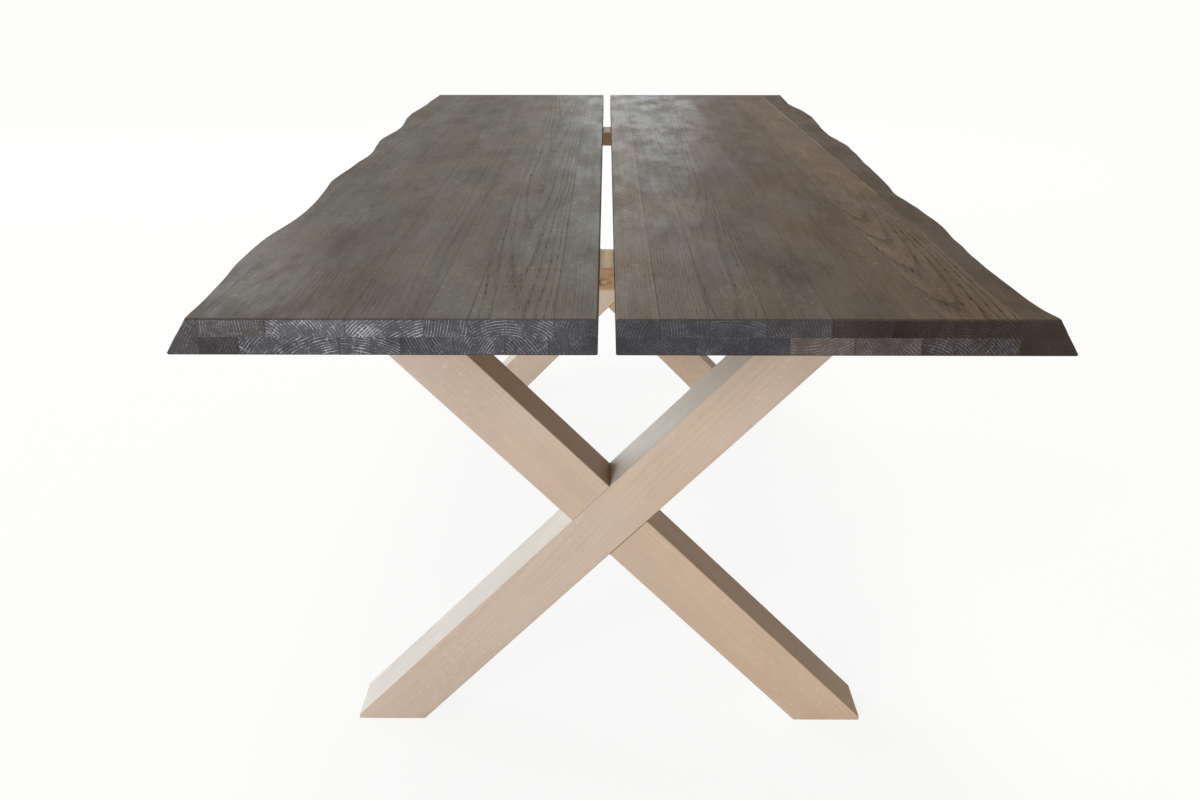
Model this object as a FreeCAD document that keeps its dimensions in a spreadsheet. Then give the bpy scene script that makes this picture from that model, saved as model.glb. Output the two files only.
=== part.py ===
import FreeCAD, Part
import math
import os
import Sketcher

# Dining table: two live-edge planks glued up from staves in two layers, side by side with a gap,
# carried on a crossbar at each end that is tenoned to a pair of legs crossing in a flush half lap.
# Millimetres, +Z up, the length along Y, the floor at z = 0 under the middle of the top.

doc = FreeCAD.newDocument("DiningTable")
sheet = doc.addObject("Spreadsheet::Sheet", "Sheet")
Vector = FreeCAD.Vector

# Driving dimensions
sizes = {
    "table_length": 2000,
    "table_height": 750,
    "plank_thick": 38,
    "lower_layer": 19,
    "plank_gap": 18,
    "gap_centre": -4.8,
    "left_plank_wide": 430,
    "right_plank_wide": 442,
    "left_edge_strip": 34,
    "right_edge_strip": 42,
    "left_edge_flare": 19,
    "right_edge_flare": 18,
    "brow_tall": 7,
    "brow_run": 4,
    "arris_ease": 1.5,
    "frame_inset": 390,
    "bar_long": 800,
    "bar_deep": 100,
    "bar_tall": 30,
    "leg_spread": 669,
    "leg_wide": 76,
    "leg_deep": 80,
    "leg_ease": 2,
    "toe_flat": 6,
    "lap_fit": 0.2,
    "tenon_wide": 40,
    "tenon_thick": 12,
    "tenons_apart": 36,
    "tenon_setback": 6,
    "bar_mortise_deep": 20,
    "leg_mortise_deep": 26,
    "tenon_fit": 0.1,
    "tenon_end_gap": 0.5,
    "bolt_diameter": 8,
    "bolt_long": 43,
    "bolt_head_diameter": 17,
    "bolt_head_tall": 3,
    "bolt_key_flats": 5,
    "bolt_key_deep": 5,
    "insert_diameter": 12,
    "insert_long": 14,
    "insert_bore_deep": 16,
    "hole_fit": 0.5,
    "thread_fit": 0.1,
    "slot_travel": 8,
}

# Widths of the straight staves of each layer, from the gap outwards. One more stave in each layer
# fills what is left up to the live-edge strip.
stave_widths = {
    "left_upper": [43, 85, 44, 78, 79],
    "left_lower": [49, 43, 51, 53, 61, 100],
    "right_upper": [43, 49, 57, 64, 59, 49],
    "right_lower": [79, 53, 40, 65, 66],
}
for layer, widths in stave_widths.items():
    for number, width in enumerate(widths, 1):
        sizes[f"{layer}_{number}_wide"] = width

# The lower staves that hold the inserts of the plank bolts
bolted_staves = {
    "left": ("left_lower_stave_2", "left_lower_stave_4"),
    "right": ("right_lower_stave_2", "right_lower_stave_4"),
}

# Live edge seen from above: share of the length from the near end, and how far the upper arris
# stands outside the plank's nominal width.
live_edges = {
    "left": [
        (0, -23), (0.055, -15), (0.115, -6), (0.175, -4), (0.232, -13), (0.295, -8), (0.38, 5),
        (0.45, 1), (0.52, -1), (0.595, 11), (0.675, 2), (0.78, 20), (0.85, 15), (0.92, 12), (1, 10),
    ],
    "right": [
        (0, -4), (0.035, -12), (0.075, -15), (0.165, -9), (0.24, -3), (0.295, -10), (0.4, -1),
        (0.475, 4), (0.555, 12), (0.632, 4), (0.778, 19), (0.84, 14), (0.897, 5), (0.955, 9), (1, 13),
    ],
}
# The flare of the live edge swells and fades along the length by this share, in this many waves
flare_swell = 0.2
flare_waves = 2.5

for row, (alias, size) in enumerate(sizes.items(), 1):
    sheet.set(f"A{row}", alias.replace("_", " "))
    sheet.set(f"B{row}", str(size))
    sheet.setAlias(f"B{row}", alias)
doc.recompute()


def cell(alias):
    return float(sheet.get(alias))


# Heights and places worked out from the driving dimensions, as expressions
plank_bottom = "(Sheet.table_height - Sheet.plank_thick)"
bar_bottom = f"({plank_bottom} - Sheet.bar_tall)"
frame_reach = "(Sheet.table_length / 2 - Sheet.frame_inset)"
hole_diameter = "(Sheet.bolt_diameter + 2 * Sheet.hole_fit)"
insert_bore = "(Sheet.insert_diameter + 2 * Sheet.thread_fit)"
tenon_reach = "(Sheet.leg_spread / 2 - Sheet.tenon_setback)"
tenon_travel = "(Sheet.tenon_wide - Sheet.tenon_thick)"
mortise_wide = "(Sheet.tenon_thick + 2 * Sheet.tenon_fit)"
gap_edges = {
    "left": "(Sheet.gap_centre - Sheet.plank_gap / 2)",
    "right": "(Sheet.gap_centre + Sheet.plank_gap / 2)",
}
outward = {"left": -1, "right": 1}
frame_ends = {"near": -1, "far": 1}


def newBody(label):
    body = doc.addObject("PartDesign::Body", label)
    body.Label = label
    return body


def place(piece, x, y, z):
    for axis, expression in zip("xyz", (x, y, z)):
        piece.setExpression(f"Placement.Base.{axis}", expression)


def newSketch(body, name, role, lift="0"):
    sketch = body.newObject("Sketcher::SketchObject", name)
    plane = [feature for feature in body.Origin.OriginFeatures if feature.Role == role][0]
    sketch.AttachmentSupport = [(plane, "")]
    sketch.MapMode = "FlatFace"
    sketch.setExpression("AttachmentOffset.Base.z", lift)
    return sketch


def bind(sketch, constraint, expression):
    number = sketch.addConstraint(constraint)
    sketch.setExpression(f"Constraints[{number}]", expression)


def locate(sketch, geometry, point, x, y):
    spot = sketch.getPoint(geometry, point)
    bind(sketch, Sketcher.Constraint("DistanceX", -1, 1, geometry, point, spot.x), x)
    bind(sketch, Sketcher.Constraint("DistanceY", -1, 1, geometry, point, spot.y), y)


def addPolygon(sketch, corners):
    count = len(corners)
    first = sketch.GeometryCount
    for index in range(count):
        start = Vector(*corners[index], 0)
        end = Vector(*corners[(index + 1) % count], 0)
        sketch.addGeometry(Part.LineSegment(start, end), False)
    for index in range(count):
        following = first + (index + 1) % count
        sketch.addConstraint(Sketcher.Constraint("Coincident", first + index, 2, following, 1))
    return first


def addRectangle(sketch, length, width):
    # A rectangle from the origin, length along X and width along Y
    addPolygon(sketch, [(0, 0), (10, 0), (10, 10), (0, 10)])
    for line in (0, 2):
        sketch.addConstraint(Sketcher.Constraint("Horizontal", line))
    for line in (1, 3):
        sketch.addConstraint(Sketcher.Constraint("Vertical", line))
    sketch.addConstraint(Sketcher.Constraint("Coincident", 0, 1, -1, 1))
    bind(sketch, Sketcher.Constraint("DistanceX", 0, 1, 0, 2, 10), length)
    bind(sketch, Sketcher.Constraint("DistanceY", 1, 1, 1, 2, 10), width)


def addCircle(sketch, diameter, x, y):
    circle = sketch.addGeometry(Part.Circle(Vector(1, 1, 0), Vector(0, 0, 1), 1), False)
    bind(sketch, Sketcher.Constraint("Diameter", circle, 2), diameter)
    locate(sketch, circle, 3, x, y)


def addSlot(sketch, diameter, travel, x, y):
    # A round-ended slot along X, its two ends travel apart
    right_end = Part.ArcOfCircle(Part.Circle(Vector(9, 0, 0), Vector(0, 0, 1), 5), -math.pi / 2, math.pi / 2)
    left_end = Part.ArcOfCircle(Part.Circle(Vector(1, 0, 0), Vector(0, 0, 1), 5), math.pi / 2, 3 * math.pi / 2)
    right = sketch.addGeometry(right_end, False)
    left = sketch.addGeometry(left_end, False)
    upper = sketch.addGeometry(Part.LineSegment(Vector(9, 5, 0), Vector(1, 5, 0)), False)
    lower = sketch.addGeometry(Part.LineSegment(Vector(1, -5, 0), Vector(9, -5, 0)), False)
    for first, second in ((right, upper), (upper, left), (left, lower), (lower, right)):
        sketch.addConstraint(Sketcher.Constraint("Tangent", first, 2, second, 1))
    sketch.addConstraint(Sketcher.Constraint("Equal", right, left))
    bind(sketch, Sketcher.Constraint("Diameter", right, 10), diameter)
    locate(sketch, right, 3, f"{x} + {travel} / 2", y)
    locate(sketch, left, 3, f"{x} - {travel} / 2", y)


def pad(body, sketch, length, symmetric=False):
    feature = body.newObject("PartDesign::Pad", sketch.Name + "Pad")
    feature.Profile = sketch
    feature.setExpression("Length", length)
    if symmetric:
        feature.SideType = "Symmetric"
    doc.recompute()
    return feature


def pocket(body, sketch, depth=None, reversed_way=False):
    before = body.Shape.Volume
    feature = body.newObject("PartDesign::Pocket", sketch.Name + "Pocket")
    feature.Profile = sketch
    feature.Reversed = reversed_way
    if depth:
        feature.setExpression("Length", depth)
    else:
        feature.Type = "ThroughAll"
    doc.recompute()
    if body.Shape.Volume >= before - 1:
        raise RuntimeError(f"{sketch.Name} cut nothing")
    return feature


def dressEdges(body, kind, size_name, size, wanted):
    # A fillet or chamfer on every edge that wanted says
    base = body.Tip
    names = [f"Edge{n}" for n, edge in enumerate(base.Shape.Edges, 1) if wanted(edge)]
    feature = body.newObject(f"PartDesign::{kind}", base.Name + kind)
    feature.Base = (base, names)
    feature.setExpression(size_name, size)
    doc.recompute()


def liesAt(edge, axis, level):
    return all(abs(getattr(vertex.Point, axis) - level) < 1e-4 for vertex in edge.Vertexes)


def makeStave(label, side, layer, inner, width, bolted):
    # A straight stave, from the inner distance off the gap edge outwards. Its outer arrises at the
    # two ends are eased, and along the gap where it borders it.
    body = newBody(label)
    sketch = newSketch(body, label + "_outline", "XY_Plane")
    addRectangle(sketch, width, "Sheet.table_length")
    upper = layer == "upper"
    thick = "Sheet.plank_thick - Sheet.lower_layer" if upper else "Sheet.lower_layer"
    pad(body, sketch, thick)
    box = body.Shape.BoundBox
    face_level = box.ZMax if upper else box.ZMin
    gap_level = (box.XMin if side == "right" else box.XMax) if inner == "0" else None

    def onOuterArris(edge):
        at_end = liesAt(edge, "y", box.YMin) or liesAt(edge, "y", box.YMax)
        at_gap = gap_level is not None and liesAt(edge, "x", gap_level)
        return liesAt(edge, "z", face_level) and (at_end or at_gap)

    dressEdges(body, "Chamfer", "Size", "Sheet.arris_ease", onOuterArris)
    if bolted:
        bores = newSketch(body, label + "_bores", "XY_Plane")
        for place_along in ("Sheet.frame_inset", "Sheet.table_length - Sheet.frame_inset"):
            addCircle(bores, insert_bore, f"({width}) / 2", place_along)
        pocket(body, bores, "Sheet.insert_bore_deep", reversed_way=True)
    x = f"{gap_edges[side]} + {inner}" if side == "right" else f"{gap_edges[side]} - ({inner}) - ({width})"
    z = f"{plank_bottom} + Sheet.lower_layer" if upper else plank_bottom
    place(body, x, "-Sheet.table_length / 2", z)
    return body


def makeLayer(side, layer):
    pieces = []
    group = f"{side}_{layer}"
    inner = "0"
    for number in range(1, len(stave_widths[group]) + 1):
        width = f"Sheet.{group}_{number}_wide"
        label = f"{group}_stave_{number}"
        pieces.append(makeStave(label, side, layer, inner, width, label in bolted_staves[side]))
        inner = width if inner == "0" else f"{inner} + {width}"
    last = len(stave_widths[group]) + 1
    rest = f"Sheet.{side}_plank_wide - Sheet.{side}_edge_strip - ({inner})"
    pieces.append(makeStave(f"{group}_stave_{last}", side, layer, inner, rest, False))
    return pieces


def boltX(side, stave):
    # The middle of a bolted stave: past the staves between it and the gap, and half its own width
    number = int(stave.rsplit("_", 1)[1])
    widths = [f"Sheet.{side}_lower_{n}_wide" for n in range(1, number + 1)]
    middle = " + ".join(widths) + f" - {widths[-1]} / 2"
    return f"({gap_edges[side]} + {outward[side]} * ({middle}))"


def makeLiveEdge(side):
    # The outer strip of a plank, its full thickness. The upper arris follows the live edge, the
    # side falls away outwards in a rounded brow and then a flare, widest just above the underside.
    length = cell("table_length")
    thick = cell("plank_thick")
    ease = cell("arris_ease")
    brow = cell("brow_run")
    nominal = cell(f"{side}_plank_wide")
    joint = nominal - cell(f"{side}_edge_strip")
    flare = cell(f"{side}_edge_flare")
    stations = [station for station, offset in live_edges[side]]

    def section(level, run_out, flare_share, end_inset):
        near = end_inset
        span = length - 2 * end_inset
        edge_points = []
        for station, offset in live_edges[side]:
            swell = 1 + flare_swell * math.sin(2 * math.pi * flare_waves * station)
            reach = nominal + offset + run_out + flare * flare_share * swell
            edge_points.append(Vector(outward[side] * reach, near + span * station, level))
        curve = Part.BSplineCurve()
        curve.interpolate(Points=edge_points, Parameters=stations)
        first = Vector(outward[side] * joint, near, level)
        last = Vector(outward[side] * joint, near + span, level)
        edges = [
            Part.LineSegment(first, edge_points[0]).toShape(),
            curve.toShape(),
            Part.LineSegment(edge_points[-1], last).toShape(),
            Part.LineSegment(last, first).toShape(),
        ]
        return Part.Wire(edges)

    brow_level = thick - cell("brow_tall")
    sections = [
        section(0, brow - ease, 1, ease),
        section(ease, brow, 1, 0),
        section(brow_level, brow, 0, 0),
        section(thick - ease, ease * brow / cell("brow_tall"), 0, 0),
        section(thick, 0, 0, ease),
    ]
    piece = doc.addObject("Part::Feature", f"{side}_live_edge")
    piece.Label = f"{side}_live_edge"
    piece.Shape = Part.makeLoft(sections, True, True)
    place(piece, gap_edges[side], "-Sheet.table_length / 2", plank_bottom)
    return piece


def legAngle():
    return math.atan2(cell("table_height") - cell("plank_thick") - cell("bar_tall"), cell("leg_spread"))


def makeLeg(label, end, turned):
    # One leg about the crossing: level ends, the sharp toes trimmed upright, and a half lap in the
    # back half. The other leg of the pair is the same piece turned round.
    body = newBody(label)
    angle = legAngle()
    half_tall = (cell("table_height") - cell("plank_thick") - cell("bar_tall")) / 2
    half_cut = cell("leg_wide") / 2 / math.sin(angle)
    toe = cell("toe_flat")
    toe_x = cell("leg_spread") / 2 + half_cut - toe / math.tan(angle)
    heel_x = cell("leg_spread") / 2 - half_cut
    outline = newSketch(body, label + "_outline", "XZ_Plane")
    corners = [(-toe_x, -half_tall), (-heel_x, -half_tall), (toe_x, half_tall - toe)]
    addPolygon(outline, corners + [(-x, -y) for x, y in corners])
    for line in range(3):
        outline.addConstraint(Sketcher.Constraint("Symmetric", line, 1, line + 3, 1, -1, 1))
    outline.addConstraint(Sketcher.Constraint("Horizontal", 0))
    outline.addConstraint(Sketcher.Constraint("Vertical", 2))
    slope = f"atan({bar_bottom} / Sheet.leg_spread)"
    bind(outline, Sketcher.Constraint("Angle", -1, 1, 1, 1, angle), slope)
    bind(outline, Sketcher.Constraint("DistanceY", 0, 1, 3, 1, 2 * half_tall), bar_bottom)
    bind(outline, Sketcher.Constraint("DistanceY", 2, 1, 2, 2, toe), "Sheet.toe_flat")
    bind(outline, Sketcher.Constraint("Distance", 1, 1, 4, cell("leg_wide")), "Sheet.leg_wide")
    pad(body, outline, "Sheet.leg_deep", symmetric=True)

    def alongLeg(edge):
        run = edge.Vertexes[1].Point - edge.Vertexes[0].Point
        return abs(run.x) > half_tall and abs(run.y) < 1e-4

    dressEdges(body, "Fillet", "Radius", "Sheet.leg_ease", alongLeg)

    # The lap is as wide as the other leg with its fit, and runs out past both sides of this one
    lap = newSketch(body, label + "_lap", "XZ_Plane")
    half_lap = (cell("leg_wide") / 2 + cell("lap_fit")) / math.sin(angle)
    run_out = cell("leg_wide") / math.sin(2 * angle)
    way = Vector(-math.cos(angle), math.sin(angle), 0) * run_out
    addPolygon(lap, [
        (-half_lap - way.x, -way.y), (half_lap - way.x, -way.y),
        (half_lap + way.x, way.y), (-half_lap + way.x, way.y),
    ])
    lap.addConstraint(Sketcher.Constraint("Symmetric", 0, 1, 2, 1, -1, 1))
    lap.addConstraint(Sketcher.Constraint("Symmetric", 1, 1, 3, 1, -1, 1))
    lap.addConstraint(Sketcher.Constraint("Horizontal", 0))
    bind(lap, Sketcher.Constraint("Angle", -1, 1, 1, 1, math.pi - angle), f"180deg - {slope}")
    bind(lap, Sketcher.Constraint("Distance", 0, 1, 1, 2 * half_lap), "Sheet.leg_wide + 2 * Sheet.lap_fit")
    bind(lap, Sketcher.Constraint("Distance", 1, 2 * run_out), f"2 * Sheet.leg_wide / sin(2 * {slope})")
    pocket(body, lap)

    mortises = newSketch(body, label + "_mortises", "XY_Plane", f"{bar_bottom} / 2")
    for side in ("-", ""):
        addSlot(mortises, mortise_wide, tenon_travel, tenon_reach, f"{side}Sheet.tenons_apart / 2")
    pocket(body, mortises, "Sheet.leg_mortise_deep")
    if turned:
        body.Placement = FreeCAD.Placement(Vector(), FreeCAD.Rotation(Vector(0, 0, 1), 180))
    place(body, "0", f"{frame_ends[end]} * {frame_reach}", f"{bar_bottom} / 2")
    return body


def makeCrossbar(label, end):
    # The bar under the planks: blind mortises over the leg tops, and bolt slots that let the planks
    # shrink and swell across their width.
    body = newBody(label)
    outline = newSketch(body, label + "_outline", "XY_Plane")
    addRectangle(outline, "Sheet.bar_long", "Sheet.bar_deep")
    pad(body, outline, "Sheet.bar_tall")
    box = body.Shape.BoundBox

    def onUnderside(edge):
        return liesAt(edge, "z", box.ZMin)

    dressEdges(body, "Chamfer", "Size", "Sheet.arris_ease", onUnderside)
    middle = "Sheet.bar_deep / 2"
    mortises = newSketch(body, label + "_mortises", "XY_Plane")
    for sign in ("-", "+"):
        for side in ("-", "+"):
            x = f"Sheet.bar_long / 2 {sign} {tenon_reach}"
            addSlot(mortises, mortise_wide, tenon_travel, x, f"{middle} {side} Sheet.tenons_apart / 2")
    pocket(body, mortises, "Sheet.bar_mortise_deep", reversed_way=True)
    slots = newSketch(body, label + "_slots", "XY_Plane", "Sheet.bar_tall")
    for side, staves in bolted_staves.items():
        for stave in staves:
            x = f"Sheet.bar_long / 2 + {boltX(side, stave)}"
            addSlot(slots, hole_diameter, "Sheet.slot_travel", x, middle)
    pocket(body, slots)
    y = f"{frame_ends[end]} * {frame_reach} - Sheet.bar_deep / 2"
    place(body, "-Sheet.bar_long / 2", y, bar_bottom)
    return body


def turnedPiece(label, steps):
    # A round piece about Z: steps lists (radius, height) of its outline as expressions
    body = newBody(label)
    sketch = newSketch(body, label + "_profile", "XZ_Plane")
    guesses = [(1 + index, index * index) for index in range(len(steps))]
    addPolygon(sketch, guesses)
    for index, (radius, height) in enumerate(steps):
        locate(sketch, index, 1, radius, height)
    feature = body.newObject("PartDesign::Revolution", label + "_turned")
    feature.Profile = sketch
    feature.ReferenceAxis = (sketch, ["V_Axis"])
    feature.Angle = 360
    doc.recompute()
    return body


def makeTenon(label):
    # A loose tenon with rounded edges, its middle in height where the leg meets the bar
    body = newBody(label)
    outline = newSketch(body, label + "_outline", "XY_Plane", "Sheet.tenon_end_gap - Sheet.leg_mortise_deep")
    addSlot(outline, "Sheet.tenon_thick", tenon_travel, "0", "0")
    pad(body, outline, "Sheet.leg_mortise_deep + Sheet.bar_mortise_deep - 2 * Sheet.tenon_end_gap")
    return body


def makeBolt(label):
    # A flat-headed bolt with a socket for a key, its seat at z = 0 and its shank upwards
    radius = "Sheet.bolt_diameter / 2"
    head = "Sheet.bolt_head_diameter / 2"
    tall = "-Sheet.bolt_head_tall"
    end = "Sheet.bolt_long"
    steps = [("0", tall), (head, tall), (head, "0"), (radius, "0"), (radius, end), ("0", end)]
    body = turnedPiece(label, steps)
    key = newSketch(body, label + "_key", "XY_Plane", tall)
    corner = cell("bolt_key_flats") / math.sqrt(3)
    turns = [math.radians(60 * index) for index in range(6)]
    addPolygon(key, [(corner * math.cos(turn), corner * math.sin(turn)) for turn in turns])
    for index, turn in enumerate(turns):
        x = f"Sheet.bolt_key_flats / sqrt(3) * cos({60 * index}deg)"
        y = f"Sheet.bolt_key_flats / sqrt(3) * sin({60 * index}deg)"
        locate(key, index, 1, x, y)
    pocket(body, key, "Sheet.bolt_key_deep", reversed_way=True)
    return body


def makeRing(label, outer_diameter, hole, height):
    outer = f"{outer_diameter} / 2"
    inner = f"{hole} / 2"
    return turnedPiece(label, [(inner, "0"), (outer, "0"), (outer, height), (inner, height)])


def makeGroup(label, pattern, places, height):
    # Identical pieces: one linked copy of the pattern at each place
    copies = []
    for number, (x, y) in enumerate(places, 1):
        copy = doc.addObject("App::Link", f"{label}_{number}")
        copy.LinkedObject = pattern
        place(copy, x, y, height)
        copies.append(copy)
    group = doc.addObject("Part::Compound", label)
    group.Label = label
    group.Links = copies
    return group


def makeFixings():
    tenon_spots = []
    bolt_spots = []
    for end in frame_ends.values():
        for sign in ("-", ""):
            for side in ("-", "+"):
                y = f"{end} * {frame_reach} {side} Sheet.tenons_apart / 2"
                tenon_spots.append((f"{sign}{tenon_reach}", y))
        for side, staves in bolted_staves.items():
            for stave in staves:
                bolt_spots.append((boltX(side, stave), f"{end} * {frame_reach}"))
    thread = "(Sheet.bolt_diameter + 2 * Sheet.thread_fit)"
    tenon = makeTenon("tenon_pattern")
    bolt = makeBolt("bolt_pattern")
    insert = makeRing("insert_pattern", "Sheet.insert_diameter", thread, "Sheet.insert_long")
    return [
        makeGroup("leg_tenons", tenon, tenon_spots, bar_bottom),
        makeGroup("plank_bolts", bolt, bolt_spots, bar_bottom),
        makeGroup("plank_inserts", insert, bolt_spots, plank_bottom),
    ]


parts = []
for side in ("left", "right"):
    for layer in ("upper", "lower"):
        parts += makeLayer(side, layer)
    parts.append(makeLiveEdge(side))
for end in frame_ends:
    parts.append(makeCrossbar(f"{end}_crossbar", end))
    parts.append(makeLeg(f"{end}_leg_rising_right", end, False))
    parts.append(makeLeg(f"{end}_leg_rising_left", end, True))
parts += makeFixings()
doc.recompute()

for item in doc.Objects:
    if "Invalid" in item.State or "Error" in item.State:
        raise RuntimeError(f"{item.Label} did not build: {item.State}")
for piece in parts:
    if piece.Shape.isNull() or not piece.Shape.isValid():
        raise RuntimeError(f"{piece.Label} has no valid shape")

os.makedirs("parts", exist_ok=True)
for piece in parts:
    piece.Shape.exportStep(f"parts/{piece.Label}.step")
print(f"{len(parts)} sub-parts, {sum(len(piece.Shape.Solids) for piece in parts)} solids")
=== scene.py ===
import math
from types import SimpleNamespace

import bpy
import numpy as np
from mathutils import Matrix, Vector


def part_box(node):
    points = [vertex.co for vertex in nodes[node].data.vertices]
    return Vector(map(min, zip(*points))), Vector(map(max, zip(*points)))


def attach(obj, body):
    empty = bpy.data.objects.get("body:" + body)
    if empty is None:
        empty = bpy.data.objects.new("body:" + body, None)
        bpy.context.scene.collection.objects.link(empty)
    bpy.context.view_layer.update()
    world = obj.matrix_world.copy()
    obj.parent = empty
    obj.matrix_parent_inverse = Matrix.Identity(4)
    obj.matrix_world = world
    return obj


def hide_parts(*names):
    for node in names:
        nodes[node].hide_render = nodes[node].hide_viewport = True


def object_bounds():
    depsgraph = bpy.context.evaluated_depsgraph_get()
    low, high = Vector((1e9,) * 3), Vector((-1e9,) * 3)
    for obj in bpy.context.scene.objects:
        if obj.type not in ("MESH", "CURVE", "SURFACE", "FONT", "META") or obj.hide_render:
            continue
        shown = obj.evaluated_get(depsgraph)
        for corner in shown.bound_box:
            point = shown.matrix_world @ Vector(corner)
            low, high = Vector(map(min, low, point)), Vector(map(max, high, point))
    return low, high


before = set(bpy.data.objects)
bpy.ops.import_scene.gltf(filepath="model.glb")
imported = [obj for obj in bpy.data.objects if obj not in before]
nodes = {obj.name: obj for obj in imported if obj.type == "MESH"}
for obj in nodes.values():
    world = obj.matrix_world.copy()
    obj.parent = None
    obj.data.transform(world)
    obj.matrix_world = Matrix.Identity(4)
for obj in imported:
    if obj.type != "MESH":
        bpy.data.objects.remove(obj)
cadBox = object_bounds()
nearEnd, farEnd = cadBox[0][1], cadBox[1][1]
print("frame loaded:", len(nodes), "nodes")


# A shader socket with arithmetic. Plain numbers and other wires mix freely in an expression.
class Wire:
    def __init__(self, tree, socket):
        self.tree = tree
        self.socket = socket

    # any node: its settings first, then its sockets' values or links
    def node(self, kind, inputs=None, output=0, **settings):
        made = self.tree.nodes.new(kind)
        for name, value in settings.items():
            setattr(made, name, value)
        for key, value in (inputs or {}).items():
            if isinstance(value, Wire):
                self.tree.links.new(value.socket, made.inputs[key])
            else:
                made.inputs[key].default_value = value
        return Wire(self.tree, made.outputs[output])

    def math(self, operation, other=0.0, third=0.0):
        return self.node("ShaderNodeMath", {0: self, 1: other, 2: third}, operation=operation)

    def __add__(self, other):
        return self.math("ADD", other)

    __radd__ = __add__

    def __sub__(self, other):
        return self.math("SUBTRACT", other)

    def __rsub__(self, other):
        return self.node("ShaderNodeMath", {0: other, 1: self}, operation="SUBTRACT")

    def __mul__(self, other):
        return self.math("MULTIPLY", other)

    __rmul__ = __mul__

    def __truediv__(self, other):
        return self.math("DIVIDE", other)

    # 0 up to the first limit, 1 past the second, smooth between; the first may lie above the second
    def step(self, first, second):
        inputs = {"Value": self, "From Min": first, "From Max": second}
        return self.node("ShaderNodeMapRange", inputs, interpolation_type="SMOOTHSTEP")

    # fractal noise at the point whose three coordinates are given, from 0 to 1
    def noise(self, x, y, z, detail=2.0, rough=0.5):
        point = self.node("ShaderNodeCombineXYZ", {0: x, 1: y, 2: z})
        inputs = {"Vector": point, "Scale": 1.0, "Detail": detail, "Roughness": rough}
        return self.node("ShaderNodeTexNoise", inputs)

    # how far this point or direction goes along a unit vector
    def dot(self, way):
        return self.node("ShaderNodeVectorMath", {0: self, 1: way}, output=1, operation="DOT_PRODUCT")

    # this value, from 0 to 1, as a colour between two plain colours
    def between(self, first, second):
        inputs = {0: self, 6: rgb(first), 7: rgb(second)}
        return self.node("ShaderNodeMix", inputs, output=2, data_type="RGBA")

    # this colour mixed towards another by a factor
    def mixTo(self, color, factor):
        inputs = {0: factor, 6: self, 7: rgb(color)}
        return self.node("ShaderNodeMix", inputs, output=2, data_type="RGBA")

    # this colour times a value
    def dim(self, value):
        return self.node("ShaderNodeVectorMath", {0: self, "Scale": value}, operation="SCALE")


def rgb(color):
    return color if isinstance(color, Wire) else (*color, 1.0)


def newMaterial(name):
    material = bpy.data.materials.new(name)
    material.use_nodes = True
    tree = material.node_tree
    shader = tree.nodes["Principled BSDF"]
    place = Wire(tree, tree.nodes.new("ShaderNodeTexCoord").outputs["Object"])
    return material, tree, shader, place


def feed(tree, shader, **links):
    for name, wire in links.items():
        tree.links.new(wire.socket, shader.inputs[name.replace("_", " ")])


def dress(piece, material):
    piece.data.materials.clear()
    piece.data.materials.append(material)


def addObject(name, data):
    made = bpy.data.objects.new(name, data)
    bpy.context.scene.collection.objects.link(made)
    return made


def meshPoints(node):
    points = np.empty(len(nodes[node].data.vertices) * 3)
    nodes[node].data.vertices.foreach_get("co", points)
    return points.reshape(-1, 3)


def middle(node):
    low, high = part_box(node)
    return [(a + b) / 2 for a, b in zip(low, high)]


# the middle and half width of a node's mesh along a direction
def spanAlong(node, way):
    reach = meshPoints(node) @ np.array(way, float)
    return float(reach.max() + reach.min()) / 2, float(reach.max() - reach.min()) / 2


# Oak figure as noise: waves a metre along the grain and across it, octaves, roughness
oakFigure = {
    "sway": (3.4, 14, 2, 0.5),       # the grain from side to side
    "wobble": (2.2, 38, 2, 0.5),     # rings out of round
    "dash": (46, 620, 2, 0.5),       # pores
    "fibre": (30, 1300, 2, 0.5),
    "streak": (1.9, 120, 2, 0.5),
    "blotch": (5.4, 15, 4, 0.62),    # patches of tone
    "tint": (4.0, 11, 3, 0.6),       # patches of hue
    "fleck": (130, 120, 2, 0.5),     # ray flecks, and where they gather
    "fleckGroup": (7, 18, 1, 0.5),
    "oil": (8.5, 26, 3, 0.65),       # patches of oil
    "jag": (0, 420, 2, 0.5),         # ends: torn lines, where they show, specks
    "patch": (0, 70, 4, 0.75),
    "speck": (0, 900, 1, 0.5),
}
# Where a noise, or a face's turn towards a direction, starts to count and where it counts in full
oakLimits = {
    "dash": (0.52, 0.66), "fleck": (0.57, 0.72), "fleckGroup": (0.44, 0.62), "oil": (0.36, 0.64),
    "ray": (0.58, 0.70), "patch": (0.40, 0.60), "glue": (0.30, 0.60), "knotBreak": (0.38, 0.60),
    "endFace": (0.6, 0.9), "upperFace": (0.5, 0.8),
}
# Metres from a line at which a mark on it is gone, and at which it is full
oakMarks = {
    "seam": (0.0012, 0.0003), "glue": (0.0034, 0.0008),
    "endArris": (0.0026, 0.0006), "longArris": (0.0026, 0.0005),
}
# How the oak grew: rates are waves a metre, and a year is one ring
oakGrowth = {
    "drifts": ((0.37, 0.0), (0.61, 5.0)),    # where the pith's two drifts read their noise
    "unevenRate": 55, "uneven": 1.6, "endUneven": 1.8,    # good and bad years, on faces and ends
    "earlyFull": 0.05, "earlyGone": 0.55, "latePores": 0.3,    # early wood in a year, pores past it
}
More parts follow.
